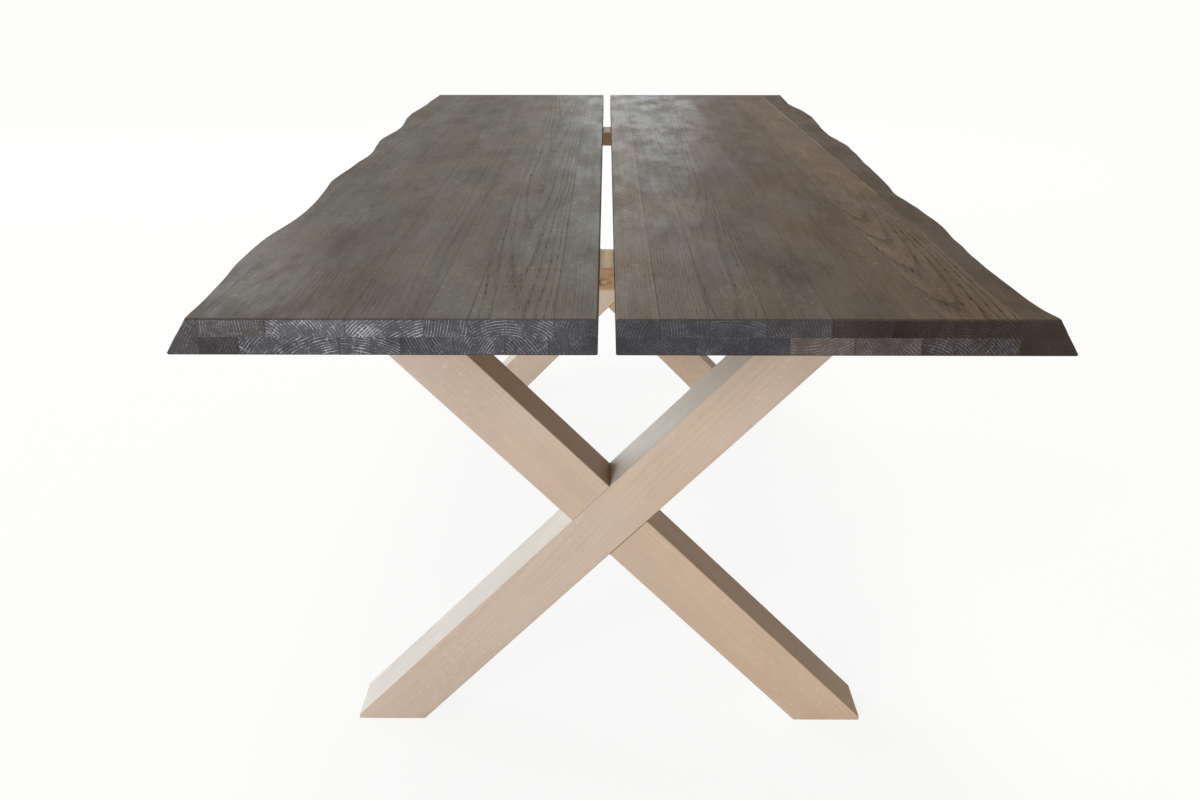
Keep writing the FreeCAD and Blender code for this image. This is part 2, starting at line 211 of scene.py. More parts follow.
# The painted light and shade on the upper face, rubbed arrises, and glue lines with their painted highlight:
# how far each follows the patches or the length, and its mean; then the shifts that keep patches of hue and
# of oil apart from the patches of tone
oakPatches = {
    "upperTints": 0.8, "upperMean": 0.9, "rubBlotches": 2.0, "rubMean": 0.8, "glueRun": 0.25, "glueMean": 0.5,
    "tintBeyond": 7.0, "oilAbove": 4.0,
}
oakEnds = {
    "rayRate": 30, "rays": 0.8, "lines": 0.72, "lineCore": 0.02, "patchLeast": 0.1, "lineSpecks": 1.6,
    "blotches": 1.2, "jags": 0.5, "specks": 0.9,
}
# Limits of a knot's parts in its own size; its noise is in metres and waves a metre
oakKnot = {
    "squeeze": 0.6, "reach": 4.0, "bend": 1.4, "ragged": 0.006, "breakRates": (160, 160, 260),
    "rimIn": (0.4, 0.7), "rimOut": (1.5, 0.8), "heart": (0.55, 0.2),
    "rimBroken": 0.65, "rimLeast": 0.15, "heartDepth": 0.8,
}
oakRelief = {"depth": 0.0005, "fibre": 0.3, "early": 0.3, "poreGloss": 0.2}


# A point of the wood measured along the grain, across it and up from it. The grain is three unit vectors:
# along it, and two across it. The side is the way across, swayed as the grain is.
def layGrain(place, look, grain, seed):
    run, flat, rise = (place.dot(way) for way in grain)
    alongRate, acrossRate, detail, rough = oakFigure["sway"]
    sway = place.noise(run * alongRate + seed, flat * acrossRate, rise * acrossRate, detail, rough) - 0.5
    side = flat + sway * look["sway"]

    # one row of the figure, moved by three shifts
    def cloud(name, aside=0.0, above=0.0, beyond=0.0):
        alongRate, acrossRate, detail, rough = oakFigure[name]
        x = side.math("MULTIPLY_ADD", acrossRate, aside)
        y = rise.math("MULTIPLY_ADD", acrossRate, above)
        z = run.math("MULTIPLY_ADD", alongRate, beyond)
        return place.noise(x, y, z, detail, rough)

    return SimpleNamespace(
        place=place, look=look, seed=seed, run=run, flat=flat, rise=rise, side=side, cloud=cloud,
    )


# Growth rings: the distance from the pith, a line that leans and drifts along the grain, cut into years.
# A knot bends the rings round it.
def growRings(wood, pith, lean, knot):
    place, look, seed, run = wood.place, wood.look, wood.seed, wood.run
    drifts = []
    for share, level in oakGrowth["drifts"]:
        drift = place.noise(run * look["driftRate"] + seed, seed * share, level, 1.0) - 0.5
        drifts.append(drift * look["pithDrift"])
    wood.pithSide = wood.side - pith[0] + drifts[0]
    wood.pithRise = wood.rise - pith[1] - run * lean + drifts[1]
    wood.wobble = wood.cloud("wobble", aside=seed) - 0.5
    radius = (wood.pithSide * wood.pithSide + wood.pithRise * wood.pithRise).math("SQRT")
    radius = radius + wood.wobble * look["wobble"]
    wood.uneven = place.noise(radius * oakGrowth["unevenRate"] + seed, 0.0, 0.0, 1.0) - 0.5
    if knot:
        knotRun, knotSide, knotRise, size = knot
        offsets = (run - knotRun) * oakKnot["squeeze"], wood.side - knotSide, wood.rise - knotRise
        wood.fromKnot = sum(part * part for part in offsets).math("SQRT")
        swell = wood.fromKnot.step(size * oakKnot["reach"], 0.0)
        radius = radius + swell * (size * oakKnot["bend"])
    wood.radius = radius
    phase = (radius / look["ring"] + wood.uneven * oakGrowth["uneven"]).math("FRACT")
    full, gone = oakGrowth["earlyFull"], oakGrowth["earlyGone"]
    wood.early = phase.step(gone, full) * phase.step(0.0, full)


# Faces along the grain: a ground that drifts in hue, shaded by streaks, fibres, patches, rings and pores.
# A hue of two numbers drifts from one end to the other. The upper face may be painted with the light and
# shade that fall on it.
def faceColor(wood, tone, hue, pores, upper):
    look, seed = wood.look, wood.seed
    # pores are short dark dashes along the grain, thick in the early wood and scarce elsewhere
    dashes = wood.cloud("dash", aside=seed).step(*oakLimits["dash"])
    late = oakGrowth["latePores"]
    wood.openPores = dashes * (wood.early * (1 - late) + late) * (look["pores"] * pores)
    wood.fibre = wood.cloud("fibre", above=seed) - 0.5
    wood.blotch = wood.cloud("blotch", above=look["patchSeed"]) - 0.5
    tint = wood.cloud("tint", above=look["patchSeed"], beyond=oakPatches["tintBeyond"]) - 0.5
    streak = wood.cloud("streak", aside=seed) - 0.5
    # ray flecks are small pale dabs, in groups
    fleck = wood.cloud("fleck", aside=seed).step(*oakLimits["fleck"])
    fleck = fleck * wood.cloud("fleckGroup", aside=-seed).step(*oakLimits["fleckGroup"])
    if isinstance(hue, tuple):
        hue = hue[0] + wood.run.step(look["driftFrom"], look["driftTo"]) * (hue[1] - hue[0])
    ground = (tint * look["tints"] + hue).step(0.0, 1.0).between(look["cool"], look["warm"])
    # painted light and shade on the upward face, mixed in patchily with the tint
    if upper:
        upward, upperLightShade = upper
        onUpper = wood.normal.dot(upward).step(*oakLimits["upperFace"])
        patchy = tint * oakPatches["upperTints"] + oakPatches["upperMean"]
        ground = ground.mixTo(upperLightShade, onUpper * patchy)
    shade = 1 + streak * look["streaks"] + wood.fibre * look["fibres"] + wood.blotch * look["blotches"]
    shade = shade * (1 - wood.early * (look["rings"] * pores)) * (1 - wood.openPores)
    return ground.dim(shade * (1 + fleck * look["flecks"]) * tone)


# Sawn ends: pale ring lines and fine rays on a darker ground, torn and patchy
def endColor(wood, tone, depth, warmth):
    look, seed = wood.look, wood.seed
    bearing = wood.pithRise.math("ARCTAN2", wood.pithSide)
    outward = wood.radius * oakEnds["rayRate"] + seed
    rays = wood.place.noise(bearing * look["rays"], outward, seed, 1.0).step(*oakLimits["ray"])
    jag = wood.cloud("jag", aside=seed, beyond=seed) - 0.5
    years = (wood.radius + jag * look["jag"]) / look["endRing"] + wood.uneven * oakGrowth["endUneven"]
    yearLine = (years.math("FRACT") - 0.5).math("ABSOLUTE").step(look["yearLine"], oakEnds["lineCore"])
    patch = wood.cloud("patch", aside=seed, beyond=seed).step(*oakLimits["patch"])
    speck = wood.cloud("speck", beyond=seed) - 0.5
    least = oakEnds["patchLeast"]
    lines = yearLine.math("MAXIMUM", rays * oakEnds["rays"]) * (patch * (1 - least) + least)
    lines = lines * (oakEnds["lines"] * depth) * (1 + speck * oakEnds["lineSpecks"])
    ground = [cool + (warm - cool) * warmth for cool, warm in zip(look["end"], look["endWarm"])]
    shade = 1 + wood.blotch * oakEnds["blotches"] + jag * oakEnds["jags"] + speck * oakEnds["specks"]
    return lines.between(ground, look["endPale"]).dim(shade * tone)


# A hairline at both sides of a stave, and a dark line along the arris of each end
def markSeams(wood, color, seam):
    look = wood.look
    lowSide, highSide, arrisAt = seam
    fromLow, fromHigh = ((wood.flat - side).math("ABSOLUTE") for side in (lowSide, highSide))
    gap = fromLow.math("MINIMUM", fromHigh)
    onFace = 1 - wood.onEnd
    color = color.mixTo(look["seam"], gap.step(*oakMarks["seam"]) * look["seamDepth"])
    fromArris = (wood.run.math("ABSOLUTE") - arrisAt).math("ABSOLUTE")
    color = color.mixTo(look["arris"], fromArris.step(*oakMarks["endArris"]) * onFace * look["arrisDepth"])
    if "joint" in look:
        # the live edge's glue line shows here and there, most of all at the far end; on the right its pale
        # colour is a painted highlight
        here = wood.blotch + wood.run * oakPatches["glueRun"] + oakPatches["glueMean"]
        caught = gap.step(*oakMarks["glue"]) * onFace * here.step(*oakLimits["glue"])
        color = color.mixTo(look["joint"], caught * look["jointDepth"])
    return color


# Long arrises handled and sanded until the bare oak comes through. The section is the middle and half width
# of the piece along the grain's two cross directions.
def rubArrises(wood, color, section):
    look = wood.look
    fromSides, fromTops = (
        ((way - centre).math("ABSOLUTE") - half).math("ABSOLUTE")
        for way, (centre, half) in zip((wood.flat, wood.rise), section)
    )
    patchy = wood.blotch * oakPatches["rubBlotches"] + oakPatches["rubMean"]
    rubbed = fromSides.math("MAXIMUM", fromTops).step(*oakMarks["longArris"]) * patchy
    return color.mixTo(look["rubbed"], rubbed * (1 - wood.onEnd) * look["rubDepth"])


# A broken dark rim round a paler heart
def markKnot(wood, color, size):
    look = wood.look
    ragged = wood.fromKnot + wood.wobble * oakKnot["ragged"]
    rimIn, rimOut, heart = (
        ragged.step(*(size * limit for limit in oakKnot[part])) for part in ("rimIn", "rimOut", "heart")
    )
    runRate, flatRate, riseRate = oakKnot["breakRates"]
    broken = wood.place.noise(wood.run * runRate + wood.seed, wood.flat * flatRate, wood.rise * riseRate)
    broken = broken.step(*oakLimits["knotBreak"]) * oakKnot["rimBroken"] + oakKnot["rimLeast"]
    color = color.mixTo(look["knotRim"], rimIn * rimOut * broken)
    return color.mixTo(look["knotHeart"], heart * oakKnot["heartDepth"])


# Oak in the round. The pith is given in metres along the grain's two cross directions, the ends as tone,
# strength of the ring lines and warmth. A figured stave says where its flame is strongest and gone, and
# the pores left there.
def oak(
    name, look, grain, pith, lean, seed, tone=1.0, hue=0.5, pores=1.0, ends=(1.0, 1.0, 0.0),
    seam=None, knot=None, figured=None, section=None, upper=None,
):
    material, tree, shader, place = newMaterial(name)
    wood = layGrain(place, look, grain, seed)
    growRings(wood, pith, lean, knot)
    wood.normal = place.node("ShaderNodeNewGeometry", output=1)
    wood.onEnd = wood.normal.dot(grain[0]).math("ABSOLUTE").step(*oakLimits["endFace"])
    if figured:
        strongest, gone, left = figured
        pores = left + wood.run.step(gone, strongest) * (pores - left)
    color = faceColor(wood, tone, hue, pores, upper)
    color = color.mixTo(endColor(wood, *ends), wood.onEnd)
    if seam:
        color = markSeams(wood, color, seam)
    if section:
        color = rubArrises(wood, color, section)
    if knot:
        color = markKnot(wood, color, knot[3])
    gloss = look["rough"] + wood.openPores * oakRelief["poreGloss"] + wood.blotch * look["roughDrift"]
    gloss = gloss + wood.onEnd * look["endRough"]
    relief = wood.fibre * oakRelief["fibre"] - wood.openPores - wood.early * oakRelief["early"]
    inputs = {"Strength": look["bump"], "Distance": oakRelief["depth"], "Height": relief}
    feed(tree, shader, Base_Color=color, Roughness=gloss, Normal=place.node("ShaderNodeBump", inputs))
    shader.inputs["Specular IOR Level"].default_value = look["specular"]
    if "oil" in look:
        # oil wiped on by hand stands on the wood in soft-edged patches
        wiped = wood.cloud("oil", above=oakPatches["oilAbove"]).step(*oakLimits["oil"])
        feed(tree, shader, Coat_Weight=(wiped * look["oil"] + look["oilLeast"]) * (1 - wood.onEnd))
        shader.inputs["Coat Roughness"].default_value = look["oilRough"]
    return material


# Camera, level across and looking down the length of the gap; metres, degrees and millimetres of lens
camera = {
    "height": 1.0734, "beforeNearEnd": 1.0286, "offGap": -0.0007, "gapCentre": -0.0048,
    "pitch": 21.67, "heading": 0.34, "lens": 32.84, "sensor": 36, "clipEnd": 300,
}
eye = addObject("camera", bpy.data.cameras.new("camera"))
eye.location = (camera["gapCentre"] + camera["offGap"], nearEnd - camera["beforeNearEnd"], camera["height"])
eye.rotation_euler = (math.radians(90 - camera["pitch"]), 0, math.radians(camera["heading"]))
eye.data.sensor_width = camera["sensor"]
eye.data.lens = camera["lens"]
eye.data.clip_end = camera["clipEnd"]
bpy.context.scene.camera = eye
print("camera set")

# Dark stained planks
plankLook = {
    "cool": (0.094, 0.089, 0.077), "warm": (0.100, 0.068, 0.044), "seam": (0.045, 0.037, 0.030),
    "arris": (0.040, 0.032, 0.026), "seamDepth": 0.55, "arrisDepth": 0.7, "arrisIn": 0.0008,
    # the ends' blue-grey ground and bluish pale lines are painted cool light from the front left
    "end": (0.072, 0.074, 0.088), "endWarm": (0.090, 0.069, 0.059), "endPale": (0.50, 0.50, 0.57),
    "ring": 0.0036, "endRing": 0.0029, "rings": 0.20, "pores": 0.55, "rays": 210.0, "yearLine": 0.17,
    "streaks": 0.50, "fibres": 0.75, "blotches": 1.2, "tints": 1.2, "flecks": 0.55, "sway": 0.009,
    "pithDrift": 0.03, "driftRate": 0.9, "wobble": 0.003, "jag": 0.0011, "rough": 0.58, "roughDrift": 0.16,
    "endRough": 0.11, "bump": 0.6, "specular": 0.02, "oil": 0.080, "oilLeast": 0.004, "oilRough": 0.29,
    "patchSeed": 3.0, "staveSeed": 3.7, "layerSeed": 11.3,
}
plankGrain = ((0, 1, 0), (1, 0, 0), (0, 0, 1))
arrisAt = farEnd - plankLook["arrisIn"]
# For each stave from the gap outwards: the pith across and up from its middle, how it leans along the
# length, tone, hue from cool to warm, pore strength, and on its ends the tone, ring lines and warmth.
# A stave with a flame also says where along it that is at its strongest and gone, and the pores left there.
# the ends' tones run brighter and cooler on the left plank, darker and warmer on the right: painted light
# from the left, over real differences between staves
staves = {
    "left_upper": [
        (0.090, -0.020, 0.004, 1.12, 0.32, 0.55, (0.84, 0.45, 0.0)),
        (-0.004, -0.046, 0.012, 1.19, 0.32, 1.2, (0.88, 0.85, 0.0)),
        (-0.100, 0.030, 0.003, 1.09, 0.36, 0.35, (0.96, 0.85, 0.0)),
        (0.060, -0.090, 0.006, 1.02, 0.34, 0.4, (1.38, 1.00, 0.0)),
        (-0.070, -0.060, -0.005, 0.93, 0.36, 0.45, (1.38, 1.00, 0.0)),
        (0.110, 0.010, 0.004, 1.02, 0.26, 0.35, (1.16, 0.45, 0.4)),
    ],
    "left_lower": [
        (0.050, 0.050, 0.010, 1.0, 0.30, 1.0, (0.75, 0.45, 0.0)),
        (-0.060, -0.050, 0.006, 0.9, 0.30, 1.0, (0.80, 0.80, 0.0)),
        (0.070, -0.050, -0.004, 1.0, 0.25, 1.0, (0.90, 0.80, 0.0)),
        (0.080, 0.060, 0.008, 1.0, 0.35, 1.0, (0.80, 0.60, 0.0)),
        (-0.030, -0.110, 0.004, 0.95, 0.30, 1.0, (1.00, 1.00, 0.0)),
        (0.060, -0.100, -0.006, 1.05, 0.30, 1.0, (1.05, 1.00, 0.0)),
        (-0.080, 0.050, 0.005, 0.9, 0.40, 1.0, (0.75, 0.35, 0.3)),
    ],
    "right_upper": [
        (0.080, -0.040, 0.003, 1.26, 0.54, 0.4, (0.76, 0.32, 0.0)),
        (-0.090, -0.010, 0.005, 1.03, 0.46, 0.7, (0.74, 0.32, 0.0)),
        (-0.010, -0.050, 0.018, 0.98, 0.48, 0.9, (0.72, 0.38, 0.0)),
        (-0.080, -0.030, 0.004, 0.90, 0.58, 0.45, (0.66, 0.32, 0.2)),
        (0.100, 0.010, 0.004, 0.83, 0.78, 0.4, (0.46, 0.12, 0.6)),
        (-0.070, -0.050, 0.005, 0.84, 0.90, 0.5, (0.36, 0.08, 0.8)),
        (-0.018, -0.040, 0.034, 1.02, 0.96, 1.7, (0.40, 0.18, 0.8), (-0.70, -0.25, 0.35)),
    ],
    "right_lower": [
        (0.050, 0.050, 0.006, 0.9, 0.40, 1.0, (0.68, 0.26, 0.0)),
        (-0.070, 0.020, 0.005, 0.8, 0.45, 1.0, (0.70, 0.40, 0.0)),
        (0.060, -0.040, 0.004, 0.8, 0.45, 1.0, (0.60, 0.26, 0.0)),
        (-0.020, 0.070, 0.006, 1.1, 0.50, 1.0, (1.02, 0.35, 0.8)),
        (0.080, 0.060, -0.005, 1.0, 0.55, 1.0, (0.92, 0.35, 0.6)),
        (-0.060, -0.070, 0.004, 0.9, 0.60, 1.0, (0.54, 0.60, 0.5)),
    ],
}
for layer, rows in staves.items():
    for number, (aside, above, lean, tone, hue, pores, ends, *figured) in enumerate(rows, 1):
        node = f"{layer}_stave_{number}"
        low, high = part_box(node)
        centre = middle(node)
        pith = (centre[0] + aside, centre[2] + above)
        seed = plankLook["staveSeed"] * number + plankLook["layerSeed"] * len(layer)
        material = oak(
            "stain_" + node, plankLook, plankGrain, pith, lean, seed, tone, hue, pores, ends,
            seam=(low[0], high[0], arrisAt), figured=figured[0] if figured else None,
        )
        dress(nodes[node], material)
print("planks stained")

# Live edges: the natural outside of each plank, rippled by the growth of the trunk
liveEdge = {
    "stations": 1100, "flankRows": 20, "backRows": 5, "ease": 0.0015, "smooth": 0.007, "bulge": 0.0006,
    "arrisPoints": 40, "sameHeight": 0.00002, "jointClear": 0.004,    # what counts as an arris of the solid
    "lumps": 0.0011, "lumpLong": 0.026, "lumpTall": 9.0,    # depth and length in metres, height in rows
    "flutes": 0.0003, "fluteLong": 0.060, "fluteTall": 1.6,
    # the cut's mean depth in lumps, its share at the underside, and the level from which it stays the same
    "cutMean": 1.2, "cutLeast": 0.15, "cutTop": 0.78,
    "endFade": 0.03, "endCut": 0.25,    # metres from an end, and the share left there
    "pithShare": 0.72, "pithBelow": 0.05, "lean": 0.006, "pores": 0.6, "jointDepth": 0.8,
    # the left live edge's ends are brighter and cooler than the right's: painted light from the left
    "left": {
        "seed": 5, "grainSeed": 14.5, "tone": 1.02, "hue": 0.40, "ends": (0.95, 0.3, 0.2),
        "joint": (0.07, 0.06, 0.05),
    },
    "right": {
        "seed": 9, "grainSeed": 26.1, "tone": 0.70, "hue": 0.92, "ends": (0.42, 0.10, 0.9),
        # a pale glue line: a painted highlight on the joint
        "joint": (0.30, 0.21, 0.13),
    },
}


# a bell curve's weights, which add up to 1, and how many steps they reach to each side
def bellCurve(spread):
    reach = int(3 * spread) + 1
    bell = np.exp(-0.5 * (np.arange(-reach, reach + 1) / spread) ** 2)
    return bell / bell.sum(), reach


# white noise smoothed by a bell curve along each of its two axes, scaled to a spread of 1
def smoothNoise(draw, shape, spreads):
    field = draw.standard_normal(shape)
    for axis, spread in enumerate(spreads):
        bell, reach = bellCurve(spread)
        margins = [(reach, reach) if way == axis else (0, 0) for way in (0, 1)]
        padded = np.pad(field, margins, mode="reflect" if reach < shape[axis] else "wrap")
        field = np.apply_along_axis(np.convolve, axis, padded, bell, "valid")
    return field / field.std()


# the heights of the solid's long arrises and their outward reach at each station, joined by a smooth line
def arrisLines(points, outward, joint, stations):
    heights, counts = np.unique(np.round(points[:, 2], 5), return_counts=True)
    heights = heights[counts > liveEdge["arrisPoints"]]
    bell, reach = bellCurve(liveEdge["smooth"] / (stations[2] - stations[1]))
    lines = []
    for height in heights:
        onHeight = np.abs(points[:, 2] - height) < liveEdge["sameHeight"]
        on = onHeight & (outward > joint + liveEdge["jointClear"])
        order = np.argsort(points[on, 1])
        line = np.interp(stations, points[on, 1][order], outward[on][order])
        lines.append(np.convolve(np.pad(line, reach, mode="edge"), bell, "valid"))
    return heights, np.array(lines)


# The flank's reach for each height and station: straight between the arrises plus a slight bulge, less a
# field of rounder lumps and long flutes that only cuts inwards, least at the underside and near the ends
def rippledFlank(heights, lines, stations, seed):
    rows = np.unique(np.concatenate([heights, np.linspace(heights[1], heights[2], liveEdge["flankRows"])]))
    upper = np.clip(np.searchsorted(heights, rows), 1, len(heights) - 1)
    share = ((rows - heights[upper - 1]) / (heights[upper] - heights[upper - 1]))[:, None]
    flank = lines[upper - 1] * (1 - share) + lines[upper] * share
    level = ((rows - heights[0]) / (heights[-1] - heights[0]))[:, None]
    flank = flank + np.sin(np.pi * level) * liveEdge["bulge"]
    pace = stations[2] - stations[1]
    draw = np.random.RandomState(seed)
    lumps = smoothNoise(draw, flank.shape, (liveEdge["lumpTall"], liveEdge["lumpLong"] / pace))
    flutes = smoothNoise(draw, flank.shape, (liveEdge["fluteTall"], liveEdge["fluteLong"] / pace))
    cut = lumps * liveEdge["lumps"] + flutes * liveEdge["flutes"] + liveEdge["cutMean"] * liveEdge["lumps"]
    least = liveEdge["cutLeast"]
    swell = np.sin(np.pi * np.clip(level, 0, liveEdge["cutTop"]))
    cut = np.clip(cut, 0, None) * (least + (1 - least) * swell)
    fromEnd = np.minimum(stations - stations[0], stations[-1] - stations)
    return rows, flank - cut * np.clip(fromEnd / liveEdge["endFade"], liveEdge["endCut"], 1)


# The strip's section carried along the plank: along the underside from the joint, up the rippled flank, back
# over the top, and down the joint. Its two end sections shrink by the eased arris.
def makeLiveEdge(side):
    node = f"{side}_live_edge"
    look = liveEdge[side]
    sign = -1 if side == "left" else 1
    points = meshPoints(node)
    outward = sign * points[:, 0]
    joint = outward.min()
    first, last = points[:, 1].min(), points[:, 1].max()
    ease = liveEdge["ease"]
    inner = np.linspace(first + ease, last - ease, liveEdge["stations"])
    stations = np.concatenate([[first], inner, [last]])
    heights, lines = arrisLines(points, outward, joint, stations)
    rows, flank = rippledFlank(heights, lines, stations, look["seed"])
    flank = np.minimum(flank, outward.max())
    bottom, top = rows[0], rows[-1]

    # reach and height around the section, at each station
    back = liveEdge["backRows"]
    steps = np.linspace(0, 1, back)[1:-1][:, None]
    under = joint + (flank[0] - joint) * steps
    over = flank[-1] + (joint - flank[-1]) * steps
    reach = np.concatenate([under, flank, over, np.full((back, len(stations)), joint)])
    flat = np.ones(len(steps))
    levels = np.concatenate([flat * bottom, rows, flat * top, np.linspace(top, bottom, back)])
    height = np.repeat(levels[:, None], len(stations), 1)
    halfway = (bottom + top) / 2
    for end in (0, -1):
        height[:, end] = halfway + (height[:, end] - halfway) * (1 - 2 * ease / (top - bottom))
        reach[:, end] = joint + (reach[:, end] - joint) * (1 - ease / (flank[:, end].max() - joint))

    # quads between neighbours around and along, and a cap on each end, all facing outwards
    around, along = reach.shape
    vertices = np.stack([sign * reach, np.broadcast_to(stations, reach.shape), height], -1).reshape(-1, 3)
    i, j = np.meshgrid(np.arange(around), np.arange(along - 1), indexing="ij")
    here = i * along + j
    beside = (i + 1) % around * along + j
    quads = np.stack([here, here + 1, beside + 1, beside], -1).reshape(-1, 4)
    caps = [np.arange(around) * along, (np.arange(around) * along + along - 1)[::-1]]
    if sign < 0:
        quads = quads[:, ::-1]
        caps = [cap[::-1] for cap in caps]
    name = f"{side}_natural_edge"
    mesh = bpy.data.meshes.new(name)
    mesh.from_pydata(vertices.tolist(), [], quads.tolist() + [cap.tolist() for cap in caps])
    smooth = np.zeros(len(mesh.polygons), bool)
    smooth[: len(quads)] = ((i >= len(steps)) & (i < len(steps) + len(rows) - 1)).reshape(-1)
    mesh.polygons.foreach_set("use_smooth", smooth)
    mesh.validate()
    mesh.update()

    piece = addObject(name, mesh)
    centre = middle(node)
    pith = (centre[0] * liveEdge["pithShare"], centre[2] - liveEdge["pithBelow"])
    edgeLook = dict(plankLook, joint=look["joint"], jointDepth=liveEdge["jointDepth"])
    material = oak(
        "stain_" + name, edgeLook, plankGrain, pith, liveEdge["lean"], look["grainSeed"], look["tone"],
        look["hue"], liveEdge["pores"], look["ends"], seam=(sign * joint, sign * joint, arrisAt),
    )
    dress(piece, material)
    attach(piece, "root")
    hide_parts(node)
    return piece


for side in ("left", "right"):
    edge = makeLiveEdge(side)
    print("live edge:", side, len(edge.data.polygons), "faces")

# Whitened legs. The spread at the feet and the height of the top give a leg's slope.
legLook = {
    "spread": 0.669, "top": 0.682, "lean": 0.004,
    "cool": (0.556, 0.468, 0.408), "warm": (0.556, 0.420, 0.314),
    "end": (0.46, 0.36, 0.27), "endWarm": (0.46, 0.34, 0.24), "endPale": (0.60, 0.50, 0.40),
    "ring": 0.0030, "endRing": 0.0030, "rings": 0.05, "pores": 0.08, "rays": 130.0, "yearLine": 0.25,
    "streaks": 0.10, "fibres": 0.10, "blotches": 0.30, "tints": 0.9, "flecks": 0.14, "sway": 0.004,
    "pithDrift": 0.03, "driftRate": 1.0, "wobble": 0.003, "jag": 0.0008, "rough": 0.52, "roughDrift": 0.1,
    "endRough": 0.1, "bump": 0.4, "specular": 0.09, "patchSeed": 8.0,
    "driftFrom": -0.25, "driftTo": 0.75, "rubbed": (0.50, 0.36, 0.24), "rubDepth": 0.45,
}
# the far legs' warmer ground is painted shade from the table above them
farShadeLook = dict(legLook, warm=(0.556, 0.385, 0.262))
# which way it rises, the pith across and behind its middle, seed, tone, hue at its foot and its top, and the
# painted light and shade of its upper face: pale and cool where lit, on the legs rising right, dark and warm
# where shaded, on those rising left
legs = {
    "near_leg_rising_right": (1, 0.05, 0.09, 2.1, 1.0, (0.20, 0.35), (0.520, 0.472, 0.426)),
    "near_leg_rising_left": (-1, -0.08, 0.06, 7.7, 1.0, (0.80, 0.10), (0.500, 0.360, 0.255)),
    "far_leg_rising_right": (1, 0.09, -0.03, 13.9, 0.97, (0.30, 0.55), (0.525, 0.462, 0.404)),
    # the far leg rising left: its lower tone and redder top are painted shade
    "far_leg_rising_left": (-1, -0.06, -0.08, 21.3, 0.88, (0.40, 1.20), (0.500, 0.360, 0.255)),
}
slope = math.atan2(legLook["top"], legLook["spread"])
lengthways = (0, 1, 0)
for node, (rising, aside, behind, seed, tone, hue, upperLightShade) in legs.items():
    along = (rising * math.cos(slope), 0, math.sin(slope))
    across = (-math.sin(slope), 0, rising * math.cos(slope))
    upward = tuple(rising * share for share in across)
    centre = middle(node)
    pith = (sum(c * a for c, a in zip(centre, across)) + aside, centre[1] + behind)
    look = farShadeLook if node.startswith("far") else legLook
    material = oak(
        "whitened_" + node, look, (along, across, lengthways), pith, look["lean"], seed, tone, hue,
        section=(spanAlong(node, across), spanAlong(node, lengthways)), upper=(upward, upperLightShade),
    )
    dress(nodes[node], material)

# Crossbars and the tenons into them, of the same wood with less white on it
barLook = dict(
    legLook, cool=(0.60, 0.43, 0.28), warm=(0.58, 0.36, 0.21), rings=0.10, pores=0.25, blotches=0.25,
    # upper: the upward faces paler and yellower, painted light as falls through the gap between the planks
    upper=(0.78, 0.60, 0.36), pith=(0.05, -0.08),
    knotRim=(0.16, 0.09, 0.05), knotHeart=(0.70, 0.52, 0.28),
    knotOffGap=-0.003, knotUp=0.011, knotSize=0.0045,    # in the near bar's front, up from its underside
)
barGrain = ((1, 0, 0), (0, 1, 0), (0, 0, 1))
# seed, tone and hue
# the far bar's low tone and warmer hue are painted shade under the planks
bars = {"near_crossbar": (4.4, 1.14, 0.6), "far_crossbar": (9.1, 0.64, 0.9), "leg_tenons": (1.0, 1.0, 0.6)}
for node, (seed, tone, hue) in bars.items():
    low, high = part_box(node)
    centre = middle(node)
    pith = (centre[1] + barLook["pith"][0], centre[2] + barLook["pith"][1])
    knot = None
    if node == "near_crossbar":
        knotRun = camera["gapCentre"] + barLook["knotOffGap"]
        knot = (knotRun, low[1], low[2] + barLook["knotUp"], barLook["knotSize"])
    material = oak(
        "whitened_" + node, barLook, barGrain, pith, barLook["lean"], seed, tone, hue, knot=knot,
        section=(spanAlong(node, barGrain[1]), spanAlong(node, barGrain[2])),
        upper=(barGrain[2], barLook["upper"]),
    )
    dress(nodes[node], material)
print("legs and crossbars whitened")

# Zinc-plated steel, faintly brushed and spangled; waves a metre
zinc = {
    "dark": (0.60, 0.61, 0.62), "pale": (0.72, 0.70, 0.64), "paleLimits": (0.4, 0.7),
    "spangle": 900, "brushAcross": 300, "brushUp": 4000,
    "rough": 0.25, "roughDrift": 0.2, "bump": 0.15, "depth": 0.0001,
}


def zincSteel(name):
    material, tree, shader, place = newMaterial(name)
    x, y, z = (place.node("ShaderNodeSeparateXYZ", {0: place}, output=i) for i in range(3))
    spangle = place.noise(x * zinc["spangle"], y * zinc["spangle"], z * zinc["spangle"])
    brushed = place.noise(x * zinc["brushAcross"], y * zinc["brushAcross"], z * zinc["brushUp"], 1.0)
    color = spangle.step(*zinc["paleLimits"]).between(zinc["dark"], zinc["pale"])
    inputs = {"Strength": zinc["bump"], "Distance": zinc["depth"], "Height": brushed}
    bump = place.node("ShaderNodeBump", inputs)
    feed(tree, shader, Base_Color=color, Roughness=spangle * zinc["roughDrift"] + zinc["rough"], Normal=bump)
    shader.inputs["Metallic"].default_value = 1.0
    return material


for node in ("plank_bolts", "plank_inserts"):
    dress(nodes[node], zincSteel("zinc_" + node))
print("hardware plated")

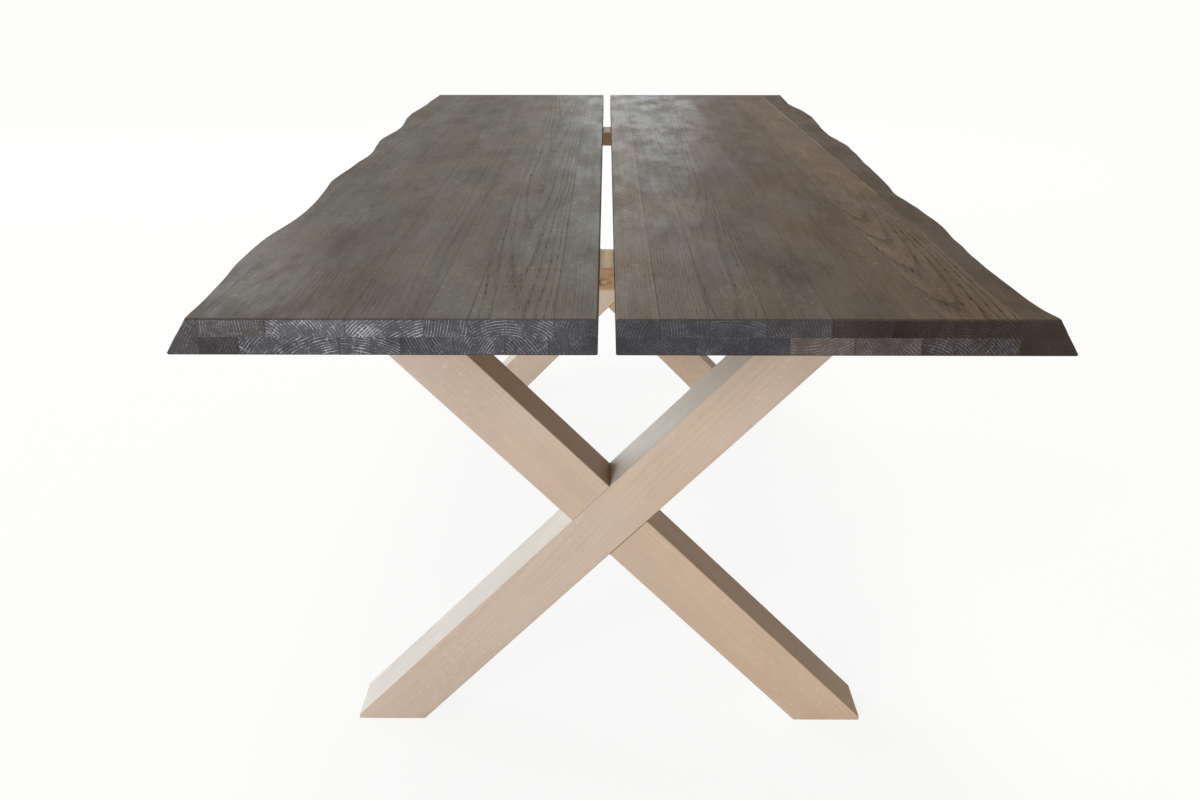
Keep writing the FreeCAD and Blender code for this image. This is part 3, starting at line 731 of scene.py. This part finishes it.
# Studio: a wide pale floor, white to the eye, three broad soft lights and two windows behind the far end
studio = {
    "floorReach": 150.0, "floorColor": (0.88, 0.85, 0.80), "floorWhite": 0.88,
    "sky": 0.30, "skyColor": (1.0, 0.91, 0.79), "white": (1.0, 1.0, 1.0),
    # strength, height above the horizon, turn from the front towards the left and spread in degrees, colour
    "front": (2.2, 14, 40, 28, (1.0, 0.985, 0.96)), "left": (2.45, 15, 122, 32, (0.75, 0.90, 1.0)),
    "overhead": (1.3, 88, 90, 32, (1.0, 0.965, 0.915)),
    # middle, width and height, power, colour
    "gapWindow": ((0.20, 6.5, 1.30), (0.90, 1.2), 36, (0.86, 0.95, 1.0)),
    "sideWindow": ((-3.4, 6.0, 3.0), (2.0, 1.5), 70, (0.94, 0.92, 1.0)),
}


# 1 for the rays that look at the background, directly, in a gloss or through glass
def seenBackground(tree):
    path = tree.nodes.new("ShaderNodeLightPath")
    seen = Wire(tree, path.outputs["Is Camera Ray"])
    seen = seen.math("MAXIMUM", Wire(tree, path.outputs["Is Glossy Ray"]))
    return seen.math("MAXIMUM", Wire(tree, path.outputs["Is Transmission Ray"]))


floorPaint = bpy.data.materials.new("pale_floor")
floorPaint.use_nodes = True
tree = floorPaint.node_tree
tree.nodes.remove(tree.nodes["Principled BSDF"])
seen = seenBackground(tree)
matt = seen.node("ShaderNodeBsdfDiffuse", {"Color": rgb(studio["floorColor"])})
bright = seen.node("ShaderNodeEmission", {"Color": rgb(studio["white"]), "Strength": 1.0})
mixed = seen.node("ShaderNodeMixShader", {0: seen * studio["floorWhite"], 1: matt, 2: bright})
tree.links.new(mixed.socket, tree.nodes["Material Output"].inputs["Surface"])

reach = studio["floorReach"]
floorMesh = bpy.data.meshes.new("floor")
corners = [(-reach, -reach, 0), (reach, -reach, 0), (reach, reach, 0), (-reach, reach, 0)]
floorMesh.from_pydata(corners, [], [(0, 1, 2, 3)])
floorMesh.materials.append(floorPaint)
addObject("floor", floorMesh)

world = bpy.data.worlds.new("studio")
world.use_nodes = True
bpy.context.scene.world = world
tree = world.node_tree
tree.nodes.clear()
seen = seenBackground(tree)
soft = seen.node("ShaderNodeBackground", {"Color": rgb(studio["skyColor"]), "Strength": studio["sky"]})
bright = seen.node("ShaderNodeBackground", {"Color": rgb(studio["white"]), "Strength": 1.0})
mixed = seen.node("ShaderNodeMixShader", {0: seen, 1: soft, 2: bright})
tree.links.new(mixed.socket, tree.nodes.new("ShaderNodeOutputWorld").inputs["Surface"])

for name in ("front", "left", "overhead"):
    strength, height, turn, spread, color = studio[name]
    lamp = addObject(name, bpy.data.lights.new(name, "SUN"))
    lamp.data.energy = strength
    lamp.data.color = color
    lamp.data.angle = math.radians(spread)
    lamp.rotation_euler = (math.radians(90 - height), 0, math.radians(-turn))
for name in ("gapWindow", "sideWindow"):
    spot, size, power, color = studio[name]
    lamp = addObject(name, bpy.data.lights.new(name, "AREA"))
    lamp.data.shape = "RECTANGLE"
    lamp.data.size, lamp.data.size_y = size
    lamp.data.energy = power
    lamp.data.color = color
    lamp.location = spot
    lamp.rotation_euler = (math.radians(-90), 0, 0)
bpy.context.scene.view_settings.view_transform = "Standard"
print("studio lit")
